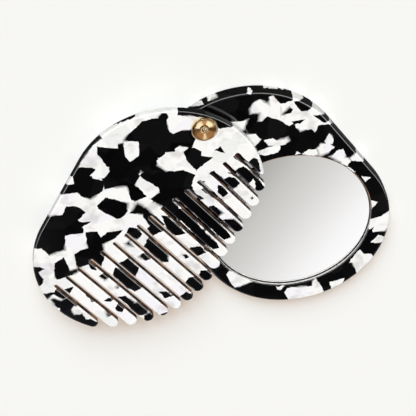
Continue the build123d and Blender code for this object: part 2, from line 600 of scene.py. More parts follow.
class OutlinePen:
    """Draws a flat outline in edit mode: one vertex is drawn out along lines and spun along arcs."""

    def __init__(self, name: str, start: Vector) -> None:
        """Put the first vertex down.

        Args:
            name: The object's name.
            start: Where the outline starts.
        """
        if bpy.context.mode != "OBJECT":
            bpy.ops.object.mode_set(mode="OBJECT")
        bpy.ops.object.select_all(action="DESELECT")
        bpy.ops.mesh.primitive_plane_add(size=MM)
        self.piece = bpy.context.active_object
        self.piece.name = name
        self.piece.data.name = name
        self.at = start.copy()
        bpy.ops.object.mode_set(mode="EDIT")
        bpy.ops.mesh.select_mode(type="VERT")
        bpy.ops.mesh.select_all(action="SELECT")
        bpy.ops.mesh.merge(type="CENTER")
        bpy.ops.transform.translate(value=start)

    def line_to(self, point: Vector) -> None:
        """Draw a straight line to a point."""
        bpy.ops.mesh.extrude_region_move(TRANSFORM_OT_translate={"value": point - self.at})
        self.at = point.copy()

    def arc(self, centre: Vector, angle: float) -> None:
        """Draw an arc.

        Args:
            centre: The arc's centre.
            angle: How far it turns, degrees, anticlockwise if above 0.
        """
        arm = self.at - centre
        bpy.ops.mesh.spin(
            steps=arc_steps(arm.length, angle), angle=-math.radians(angle), center=centre, axis=UP
        )
        self.at = centre + Matrix.Rotation(math.radians(angle), 3, "Z") @ arm

    def close(self) -> Object:
        """Join the last vertex to the first and fill the outline.

        Returns:
            The filled outline, in object mode.
        """
        bpy.ops.mesh.select_all(action="SELECT")
        bpy.ops.mesh.remove_doubles(threshold=TOUCH)
        bpy.ops.mesh.edge_face_add()
        bpy.ops.mesh.normals_make_consistent(inside=False)
        bpy.ops.object.mode_set(mode="OBJECT")
        return self.piece


def thicken(piece: Object, height: float) -> None:
    """Draw a flat outline up into a solid.

    Args:
        piece: The filled outline.
        height: How far up.
    """
    select_only(piece)
    bpy.ops.object.mode_set(mode="EDIT")
    bpy.ops.mesh.select_mode(type="FACE")
    bpy.ops.mesh.select_all(action="SELECT")
    bpy.ops.mesh.extrude_region_move(TRANSFORM_OT_translate={"value": UP * height})
    bpy.ops.mesh.select_all(action="SELECT")
    bpy.ops.mesh.normals_make_consistent(inside=False)
    bpy.ops.object.mode_set(mode="OBJECT")


def settle(piece: Object, place: Vector, turn: float) -> None:
    """Turn a piece about Z, move it, and put both into its mesh.

    Args:
        piece: The mesh object, made at the origin.
        place: Where its origin goes.
        turn: Degrees about Z.
    """
    select_only(piece)
    piece.location = place
    piece.rotation_euler = (0, 0, math.radians(turn))
    bpy.ops.object.transform_apply(location=True, rotation=True, scale=True)


# Pieces


@dataclass
class PlateOutline:
    """The outline that both plates share: two round ends joined by straight flanks.

    It is measured from the rivet, with the plate's long axis turned from +X by tilt.
    """

    tilt: float = 0.0  # degrees
    drop: float = 0.0  # both ends moved towards -Y by this much
    big_radius: float = 31.7 * MM
    small_radius: float = 30.7 * MM
    small_centre: float = 26.15 * MM
    arc_spacing: float = 28.0 * MM

    def small(self) -> Vector:
        """Centre of the round end at the rivet."""
        return heading(self.tilt) * self.small_centre - flat(0, self.drop)

    def big(self) -> Vector:
        """Centre of the round end at the mirror."""
        return self.small() + heading(self.tilt) * self.arc_spacing

    def flank(self, side: int) -> float:
        """Direction, in degrees, from each centre to where its flank starts, on side 1 or -1."""
        splay = math.asin((self.big_radius - self.small_radius) / self.arc_spacing)
        return self.tilt + side * (90 + math.degrees(splay))

    def flank_ends(self, side: int) -> tuple[Vector, Vector]:
        """Where a flank starts, on side 1 or -1: at the rivet's end and at the mirror's."""
        out = heading(self.flank(side))
        return self.small() + out * self.small_radius, self.big() + out * self.big_radius

    def top(self, x: float) -> float:
        """Find how high the outline's upper side is.

        Args:
            x: The place along X.

        Returns:
            The height there, along Y.
        """
        first, last = self.flank_ends(1)
        if x < first.x:
            return self.small().y + math.sqrt(self.small_radius**2 - (x - self.small().x) ** 2)
        if x > last.x:
            return self.big().y + math.sqrt(self.big_radius**2 - (x - self.big().x) ** 2)
        return first.y + (last.y - first.y) * (x - first.x) / (last.x - first.x)


@dataclass
class MirrorPlate:
    """The plate with the round recess for the glass."""

    node: str = "mirror_plate"
    axis_angle: float = 299.8  # of the plate's long axis, degrees
    edge_round: float = 0.65 * MM
    edge_faces: int = 5
    lip_round: float = 0.3 * MM
    lip_faces: int = 3
    glass_clearance: float = 0.15 * MM
    floor: float = 1.8 * MM
    flange_depth: float = 0.8 * MM
    flange_radius: float = 3.15 * MM
    bore_radius: float = 1.63 * MM
    edge_slack: float = 0.01 * MM  # how far the recess's upper edge may stand off its radius
    wall_slack: float = 0.05 * MM  # and its wall
    wall_rise: float = 0.1  # a wall's normal rises less than this
    level_rise: float = 0.99  # and a level face's normal more than this
    outline: PlateOutline = field(default_factory=PlateOutline)

    def build(self, polished: Material, sawn: Material, milled: Material) -> Object:
        """Model the plate, dress it and set it in the frame.

        Args:
            polished: The polished acetate.
            sawn: The recess's lip on the rivet's side, where the photograph shows it brown; the brown is a
                painted glow of light through the thin edge.
            milled: The recess's wall, matte, with painted shade at its foot and painted pale above as a
                reflection.

        Returns:
            The plate.
        """
        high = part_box(self.node)[1]
        glass_low, glass_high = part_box("mirror_glass")
        recess = (glass_high.x - glass_low.x) / 2 + self.glass_clearance
        plate = self.draw()
        thicken(plate, high.z)
        settle(plate, flat(PIVOT.x, PIVOT.y), self.axis_angle)
        round_edges(plate, self.edge_round, self.edge_faces, lambda a, b: abs(a.z - b.z) < TOUCH)
        cut_round(plate, Vector(), recess, self.floor, 2 * high.z)
        cut_round(plate, PIVOT, self.flange_radius, -high.z, self.flange_depth)
        cut_round(plate, PIVOT, self.bore_radius, 0, 2 * high.z)

        def at_lip(point: Vector) -> bool:
            """Whether a vertex is on the recess's upper edge."""
            return abs(point.xy.length - recess) < self.edge_slack and point.z > high.z - TOUCH

        round_edges(plate, self.lip_round, self.lip_faces, lambda a, b: at_lip(a) and at_lip(b))
        finish_smooth(plate)
        for finish in (polished, sawn, milled):
            plate.data.materials.append(finish)
        for face in plate.data.polygons:
            face.material_index = self.surface(face.center, face.normal.z, recess)
        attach(plate, Body.MIRROR.value)
        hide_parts(self.node)
        return plate

    def draw(self) -> Object:
        """Draw the plate's outline with its rivet at the origin.

        Returns:
            The filled outline.
        """
        shape = self.outline
        start, end = shape.flank_ends(-1)
        turn = shape.flank(1) - shape.flank(-1)
        pen = OutlinePen("mirror_plate_acetate", start)
        pen.line_to(end)
        pen.arc(shape.big(), turn)
        pen.line_to(shape.flank_ends(1)[0])
        pen.arc(shape.small(), 360 - turn)
        return pen.close()

    def surface(self, centre: Vector, steepness: float, recess: float) -> Surface:
        """Say how a face is finished.

        Args:
            centre: The face's middle.
            steepness: The upward part of its normal.
            recess: The recess's radius.

        Returns:
            Its finish.
        """
        beyond = centre.xy.length - recess
        sloped = self.wall_rise < steepness < self.level_rise
        # On the rivet's side, away from the lamps, the lip takes the painted brown glow
        if sloped and -TOUCH < beyond < self.lip_round + TOUCH and centre.y > 0:
            return Surface.SAWN
        if abs(beyond) < self.wall_slack and abs(steepness) < self.wall_rise:
            return Surface.MILLED
        return Surface.POLISHED


@dataclass
class CombPlate:
    """The comb, whose teeth are sawn at an angle to the plate's long axis."""

    node: str = "comb_plate"
    axis_angle: float = 240.2  # of the plate's long axis, degrees
    root_angle: float = 25.9  # between the long axis and the row of tooth roots, degrees
    edge_round: float = 0.55 * MM
    edge_faces: int = 4
    bore_radius: float = 1.66 * MM
    first_slot: float = -1.1 * MM
    slots: int = 16
    pitch: float = 5.0 * MM
    slot_width: float = 1.15 * MM
    root_line: float = 14.8 * MM
    near_round: float = 0.8 * MM
    far_round: float = 1.6 * MM
    tip_drop: float = 5.7 * MM
    tip_inset_big: float = 3.9 * MM
    tip_inset_small: float = 2.1 * MM
    wall_rise: float = 0.3  # a slot wall's normal rises less than this

    def build(self, polished: Material, sawn: Material) -> Object:
        """Model the comb, dress it and set it in the frame.

        Args:
            polished: The polished acetate.
            sawn: The walls of the slots, with their painted brown glow.

        Returns:
            The comb.
        """
        low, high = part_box(self.node)
        comb = self.draw()
        thicken(comb, high.z - low.z)
        round_edges(comb, self.edge_round, self.edge_faces, lambda a, b: abs(a.z - b.z) < TOUCH)
        cut_round(comb, Vector(), self.bore_radius, -high.z, high.z)
        finish_smooth(comb)
        comb.data.materials.append(polished)
        comb.data.materials.append(sawn)
        for face in comb.data.polygons:
            # Slot walls take the painted brown glow of light through the thin edge
            if abs(face.normal.z) < self.wall_rise and self.in_slot(face.center.x, face.center.y):
                face.material_index = Surface.SAWN
        settle(comb, Vector((PIVOT.x, PIVOT.y, low.z)), self.axis_angle - self.root_angle)
        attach(comb, Body.COMB.value)
        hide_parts(self.node)
        return comb

    def in_slot(self, x: float, y: float) -> bool:
        """Find whether a place in the comb's own plane is on a slot's wall.

        Args:
            x: The place along the row of teeth.
            y: The place along a tooth.

        Returns:
            Whether it is.
        """
        start = self.first_slot - self.slot_width
        end = self.first_slot + (self.slots - 1) * self.pitch + self.slot_width
        return start < x < end and self.root_line - TOUCH < y < self.tip_centre(x) + TOUCH

    def tip_centre(self, x: float) -> float:
        """Find how far up a tooth the centre of its round tip is.

        Args:
            x: The tooth's place along the row.

        Returns:
            The centre's place along the tooth.
        """
        plate = PlateOutline()
        guide = PlateOutline(
            tilt=self.root_angle,
            drop=self.tip_drop,
            big_radius=plate.big_radius + self.tip_drop - self.tip_inset_big,
            small_radius=plate.small_radius + self.tip_drop - self.tip_inset_small,
        )
        return guide.top(x) - (self.pitch - self.slot_width) / 2

    def draw(self) -> Object:
        """Draw the comb's outline with its rivet at the origin and its teeth towards +Y.

        Returns:
            The filled outline.
        """
        shape = PlateOutline(tilt=self.root_angle)
        small, big = shape.small(), shape.big()
        half = self.slot_width / 2
        shoulder = self.root_line + half
        places = [self.first_slot + i * self.pitch for i in range(self.slots)]
        near = places[0] - half
        far = places[-1] + half
        near_tip = self.guard_tip(small, shape.small_radius - self.near_round, near - self.near_round)
        far_tip = self.guard_tip(big, shape.big_radius - self.far_round, far + self.far_round)
        near_end = angle_of(near_tip - small)
        far_end = angle_of(far_tip - big)
        pen = OutlinePen("comb_plate_acetate", flat(near, shoulder))
        pen.line_to(near_tip + flat(self.near_round, 0))
        pen.arc(near_tip, near_end)
        pen.arc(small, shape.flank(-1) + 360 - near_end)
        pen.line_to(shape.flank_ends(-1)[1])
        pen.arc(big, far_end - shape.flank(-1))
        pen.arc(far_tip, 180 - far_end)
        pen.line_to(flat(far, shoulder))
        for place in reversed(places[1:]):
            pen.arc(flat(place, shoulder), -180)
            tooth = place - self.pitch / 2
            tip = flat(tooth, self.tip_centre(tooth))
            pen.line_to(flat(place - half, tip.y))
            pen.arc(tip, 180)
            pen.line_to(flat(place - self.pitch + half, shoulder))
        pen.arc(flat(places[0], shoulder), -180)
        return pen.close()

    def guard_tip(self, centre: Vector, reach: float, x: float) -> Vector:
        """Centre of an outer tooth's rounding, at x along the row and at reach from a round end."""
        return flat(x, centre.y + math.sqrt(reach**2 - (x - centre.x) ** 2))


@dataclass
class RivetCap:
    """The dished brass cap, turned in one piece with its pin."""

    node: str = "rivet_cap"
    radius: float = 4.1 * MM
    rim_width: float = 0.3 * MM
    rim_height: float = 0.8 * MM
    rim_round: float = 0.2 * MM
    dish_depth: float = 0.4 * MM
    nub_radius: float = 1.4 * MM
    nub_height: float = 0.35 * MM
    nub_round: float = 0.22 * MM
    dimple_radius: float = 0.45 * MM
    dimple_depth: float = 0.15 * MM
    pin_radius: float = 0.98 * MM
    pin_length: float = 3.2 * MM
    turns: int = 128

    def build(self, brass: Material) -> Object:
        """Turn the cap from its profile, dress it and set it in the frame.

        Args:
            brass: The turned brass.

        Returns:
            The cap.
        """
        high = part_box(self.node)[1]
        cap = self.draw()
        bpy.ops.mesh.select_all(action="SELECT")
        bpy.ops.transform.rotate(value=-math.pi / 2, orient_axis="X", center_override=(0, 0, 0))
        bpy.ops.mesh.spin(steps=self.turns, angle=2 * math.pi, center=(0, 0, 0), axis=UP)
        bpy.ops.mesh.select_all(action="SELECT")
        bpy.ops.mesh.remove_doubles(threshold=TOUCH)
        bpy.ops.mesh.normals_make_consistent(inside=False)
        bpy.ops.object.mode_set(mode="OBJECT")
        settle(cap, Vector((PIVOT.x, PIVOT.y, high.z - self.rim_height)), 0)
        finish_smooth(cap, 30)
        cap.data.materials.append(brass)
        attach(cap, Body.MIRROR.value)
        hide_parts(self.node)
        return cap

    def draw(self) -> Object:
        """Draw half of the cap's section, with its axis along Y.

        Returns:
            The section, in edit mode.
        """
        rim = self.rim_height
        dish = rim - self.dish_depth
        nub = dish + self.nub_height
        pen = OutlinePen("rivet_cap_brass", flat(0, -self.pin_length))
        pen.line_to(flat(self.pin_radius, -self.pin_length))
        pen.line_to(flat(self.pin_radius, 0))
        pen.line_to(flat(self.radius, 0))
        pen.line_to(flat(self.radius, rim - self.rim_round))
        pen.arc(flat(self.radius - self.rim_round, rim - self.rim_round), 90)
        pen.line_to(flat(self.radius - self.rim_width, rim))
        pen.line_to(flat(self.nub_radius, dish))
        pen.line_to(flat(self.nub_radius, nub - self.nub_round))
        pen.arc(flat(self.nub_radius - self.nub_round, nub - self.nub_round), 90)
        pen.line_to(flat(self.dimple_radius, nub))
        pen.line_to(flat(0, nub - self.dimple_depth))
        return pen.piece


# Stage


@dataclass(frozen=True)
class Lamp:
    """A wide lamp far off, for the floor alone or for all but the floor."""

    name: str
    on_floor: bool
    heading: float  # degrees from +X
    height: float  # degrees above the floor
    width: float  # degrees across
    energy: float  # watts per square metre
    colour: tuple[float, float, float]
    shadow: bool = True
    shows: bool = True  # in reflections


@dataclass(frozen=True)
class Card:
    """A level glowing card whose shade changes along one direction. Lengths are in metres."""

    name: str
    height: float
    size: float
    along: tuple[float, float, float]  # the way that its shade changes
    reach: float  # how far its first and last shade lie from its middle
    shades: Shades
    strength: float


@dataclass
class Studio:
    """Floor, surround, lamps, the camera, and the cards that single pieces show."""

    camera_place: Vector = field(default_factory=lambda: Vector((-60.4, 324.3, 395.7)) * MM)
    camera_aim: Vector = field(default_factory=lambda: Vector((-26.0, 7.2, 0.0)) * MM)
    camera_up: Vector = field(default_factory=lambda: Vector((0.143, 0.778, -0.611)))
    lens: float = 136.1  # millimetres
    sensor: float = 36.0  # its width, millimetres
    clip: tuple[float, float] = (0.01, 20)
    floor_size: float = 6.0
    floor_colour: str = "f6f4ef"
    floor_shine: str = "52504e"  # the floor in reflections
    fade: tuple[float, float] = (0.15, 0.6)  # how far out the floor starts and ends to fade
    faded: tuple[float, float] = (0.35, 1.0)  # the surround's share at either place
    surround: str = "f8f7f3"
    soft: tuple[float, float, float, float] = (0.12, 0.11, 0.10, 1.0)  # the surround's light
    overhead: Shades = ((0.0, "f4f2ee"), (0.2, "e4e2de"), (0.45, "8a8886"), (0.7, "3e3e3f"))
    lamps: tuple[Lamp, ...] = (
        Lamp("floor_key", True, 97, 31, 40, 5.68, (0.671, 0.858, 1.0)),
        Lamp("floor_fill", True, 0, 90, 30, 0.823, (1.0, 0.44, 0.056), shadow=False),
        Lamp("key", False, 95, 50, 30, 2.20, (0.996, 0.994, 1.0)),
        Lamp("fill", False, 270, 75, 90, 1.41, (0.996, 0.994, 1.0), shows=False),
    )
    fan_middle: tuple[float, float, float] = (0.073, -0.585, 0.808)  # the way that flat faces look
    fan_limits: tuple[tuple[float, float], ...] = ((0.15, 0.19), (0.56, 0.5))  # inner and outer
    fan_strength: float = 2.2
    fans: Shades = (  # once round the ring
        (0.0, "2a2018"), (0.05, "6c594e"), (0.085, "cfdcfa"), (0.2, "d9e2fa"), (0.225, "84705f"),
        (0.265, "8a7060"), (0.285, "c9d6f4"), (0.4, "cfdcfa"), (0.425, "30261f"), (0.5, "54443a"),
        (0.6, "7c685c"), (0.71, "7c685c"), (0.73, "bcc6dc"), (0.755, "bcc6dc"), (0.775, "7c685c"),
        (0.9, "786458"), (0.96, "30261f"), (1.0, "2a2018"),
    )
    mirror_card: Card = Card(
        "mirror_card", 1.162, 0.25, (0.79, -0.61, 0), 0.14,
        (
            (0.0, "8b8a87"), (0.2, "adaca9"), (0.35, "c8c7c4"), (0.5, "d9d8d6"), (0.75, "f7f6f6"),
            (0.9, "ffffff"),
        ),
        1.04,
    )
    nub_card: Card = Card(
        "nub_card", 2.0, 0.62, (1, 0, 0), 0.1,
        ((0.0, "c9ddff"), (0.5, "c9ddff"), (1.0, "7a685a")),
        1.25,
    )
    rim_reach: float = 1.2  # from the middle to the rim's box, metres
    rim_heights: tuple[float, float] = (34, 62)  # degrees above the floor
    rim_start: float = -40  # degrees from +X
    rim_turn: float = 260  # degrees
    rim_colour: tuple[float, float, float, float] = (0.98, 0.99, 1.0, 1.0)
    rim_strength: float = 9.0

    def camera(self) -> None:
        """Make the camera at the photograph's viewing angle, with no shift and no depth of field."""
        data = bpy.data.cameras.new("camera")
        data.lens = self.lens
        data.sensor_width = self.sensor
        data.clip_start, data.clip_end = self.clip
        back = (self.camera_place - self.camera_aim).normalized()
        right = self.camera_up.cross(back).normalized()
        turned = Matrix((right, back.cross(right), back)).transposed()
        camera = bpy.data.objects.new("camera", data)
        bpy.context.scene.collection.objects.link(camera)
        camera.matrix_world = Matrix.Translation(self.camera_place) @ turned.to_4x4()
        bpy.context.scene.camera = camera

    def floor(self) -> Object:
        """Lay the pale floor, which keeps the object's shadow and fades into the surround.

        Returns:
            The floor.
        """
        bpy.ops.object.select_all(action="DESELECT")
        bpy.ops.mesh.primitive_plane_add(size=self.floor_size, location=(0, 0, 0))
        floor = bpy.context.active_object
        floor.name = "floor"
        material, tree = new_tree("pale_floor")
        seen = add_node(tree, "LightPath").outputs
        place = add_node(tree, "TexCoord").outputs["Object"]
        reach = add_node(tree, "VectorMath", {0: place}, operation="LENGTH")
        far = add_node(tree, "MapRange", {"Value": reach} | dict(zip(LIMITS, self.fade + self.faded)))
        share = add_node(tree, "Math", {0: far, 1: seen["Is Camera Ray"]}, operation="MULTIPLY")
        shader = add_node(tree, "BsdfDiffuse", {"Color": linear(self.floor_colour)})
        # Black acetate walls would turn grey if they showed this floor as bright as it looks
        for part, colour in ((share, self.surround), (seen["Is Glossy Ray"], self.floor_shine)):
            plain = add_node(tree, "Emission", {"Color": linear(colour)})
            shader = add_node(tree, "MixShader", {0: part, 1: shader, 2: plain})
        add_node(tree, "OutputMaterial", {"Surface": shader})
        floor.data.materials.append(material)
        return floor

    def fan_boxes(self, tree: NodeTree, way: NodeSocket) -> tuple[Node, Node]:
        """Add nodes for boxes round the way that flat faces look, which the dished cap shows as fans.

        Args:
            tree: The surround's tree.
            way: The direction that is looked in.

        Returns:
            The node that gives the boxes' colour, and the one that gives their share.
        """
        middle = Vector(self.fan_middle)
        across = (Vector((1, 0, 0)) - middle * middle.x).normalized()
        parts = {
            name: add_node(tree, "VectorMath", {0: way, 1: axis}, operation="DOT_PRODUCT")
            for name, axis in (("X", across), ("Y", middle.cross(across)))
        }
        ring = add_node(tree, "CombineXYZ", parts)
        turn = add_node(tree, "TexGradient", {"Vector": ring}, gradient_type="RADIAL")
        fans = add_node(tree, "ValToRGB", {"Fac": turn.outputs["Fac"]})
        set_stops(fans, self.fans)
        bright = add_node(tree, "VectorMath", {0: fans, "Scale": self.fan_strength}, operation="SCALE")
        spread = add_node(tree, "VectorMath", {0: ring}, operation="LENGTH")
        share: Node | float = 1.0
        for start, end in self.fan_limits:
            inside = add_node(tree, "MapRange", {"Value": spread, "From Min": start, "From Max": end})
            share = add_node(tree, "Math", {0: inside, 1: share}, operation="MULTIPLY")
        return bright, share

    def world(self) -> None:
        """Surround everything with soft warm light.

        It is pale to the camera. In reflections it darkens overhead and has the fans' boxes in it.
        """
        world = bpy.data.worlds.new("studio")
        bpy.context.scene.world = world
        world.use_nodes = True
        tree = world.node_tree
        tree.nodes.clear()
        seen = add_node(tree, "LightPath").outputs
        way = add_node(tree, "TexCoord").outputs["Generated"]
        height = add_node(tree, "SeparateXYZ", {0: way}).outputs["Z"]
        sky = add_node(tree, "ValToRGB", {"Fac": height})
        set_stops(sky, self.overhead)
        bright, share = self.fan_boxes(tree, way)
        shine = add_node(tree, "Mix", {"Factor": share, "A": sky, "B": bright}, data_type="RGBA")
        shader = add_node(tree, "Background", {"Color": self.soft})
        for ray, colour in (("Is Glossy Ray", shine), ("Is Camera Ray", linear(self.surround))):
            other = add_node(tree, "Background", {"Color": colour})
            shader = add_node(tree, "MixShader", {0: seen[ray], 1: shader, 2: other})
        add_node(tree, "OutputWorld", {"Surface": shader})

    def sun(self, lamp: Lamp, floor: Object) -> None:
        """Hang a wide lamp far off.

        Args:
            lamp: What it is.
            floor: The floor, which some lamps light alone and the others leave out.
        """
        data = bpy.data.lights.new(lamp.name, "SUN")
        data.energy = lamp.energy
        data.angle = math.radians(lamp.width)
        data.color = lamp.colour
        data.use_shadow = lamp.shadow
        sun = bpy.data.objects.new(lamp.name, data)
        bpy.context.scene.collection.objects.link(sun)
        sun.visible_glossy = lamp.shows
        height = math.radians(lamp.height)
        way = heading(lamp.heading) * math.cos(height) + UP * math.sin(height)
        sun.rotation_mode = "QUATERNION"
        sun.rotation_quaternion = way.to_track_quat("Z", "Y")
        lit = bpy.data.collections.new(lamp.name + "_lights")
        sun.light_linking.receiver_collection = lit
        lit.objects.link(floor)
        if not lamp.on_floor:
            lit.collection_objects[0].light_linking.link_state = "EXCLUDE"

    def show_in(self, sheet: Object, pieces: tuple[Object, ...]) -> NodeTree:
        """Make a sheet one that only some shiny pieces show.

        Args:
            sheet: The sheet.
            pieces: The pieces that show it.

        Returns:
            The empty node tree of its material.
        """
        material, tree = new_tree(sheet.name)
        sheet.data.materials.append(material)
        sheet.visible_camera = False
        sheet.visible_shadow = False
        sheet.visible_diffuse = False
        shown = bpy.data.collections.new(sheet.name + "_shows_in")
        for piece in pieces:
            shown.objects.link(piece)
        sheet.light_linking.receiver_collection = shown
        return tree

    def hang(self, card: Card, seen_from: Vector, piece: Object) -> None:
        """Hang a card where a flat shiny face shows it to the camera.

        Args:
            card: What it is.
            seen_from: A place on the face.
            piece: The piece that shows it.
        """
        eye = self.camera_place - seen_from
        away = Vector((-eye.x, -eye.y, eye.z)) * (card.height - seen_from.z) / eye.z
        bpy.ops.object.select_all(action="DESELECT")
        bpy.ops.mesh.primitive_plane_add(size=card.size, location=seen_from + away)
        sheet = bpy.context.active_object
        sheet.name = card.name
        tree = self.show_in(sheet, (piece,))
        place = add_node(tree, "TexCoord").outputs["Object"]
        along = add_node(tree, "VectorMath", {0: place, 1: card.along}, operation="DOT_PRODUCT")
        limits = {"From Min": -card.reach, "From Max": card.reach}
        share = add_node(tree, "MapRange", {"Value": along} | limits)
        shade = add_node(tree, "ValToRGB", {"Fac": share})
        set_stops(shade, card.shades)
        glow = add_node(tree, "Emission", {"Color": shade, "Strength": card.strength})
        add_node(tree, "OutputMaterial", {"Surface": glow})

    def rim_box(self, plates: tuple[Object, ...]) -> None:
        """Bend a long soft box round the camera's side, a thin bright line in the plates' rims.

        Args:
            plates: Both plates.
        """
        low, high = (self.rim_reach * math.tan(math.radians(angle)) for angle in self.rim_heights)
        pen = OutlinePen("rim_box", heading(self.rim_start) * self.rim_reach + UP * low)
        pen.arc(UP * low, self.rim_turn)
        bpy.ops.mesh.select_all(action="SELECT")
        bpy.ops.mesh.extrude_region_move(TRANSFORM_OT_translate={"value": UP * (high - low)})
        bpy.ops.object.mode_set(mode="OBJECT")
        tree = self.show_in(pen.piece, plates)
        glow = add_node(tree, "Emission", {"Color": self.rim_colour, "Strength": self.rim_strength})
        add_node(tree, "OutputMaterial", {"Surface": glow})

    def build(self, glass: Object, cap: Object, plates: tuple[Object, ...]) -> None:
        """Set up the whole stage.

        Args:
            glass: The mirror's glass.
            cap: The rivet's cap.
            plates: Both plates.
        """
        bpy.context.scene.view_settings.view_transform = "Standard"
        floor = self.floor()
        self.world()
        for lamp in self.lamps:
            self.sun(lamp, floor)
        self.hang(self.mirror_card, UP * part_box("mirror_glass")[1].z, glass)
        self.hang(self.nub_card, PIVOT, cap)
        self.rim_box(plates)
        self.camera()


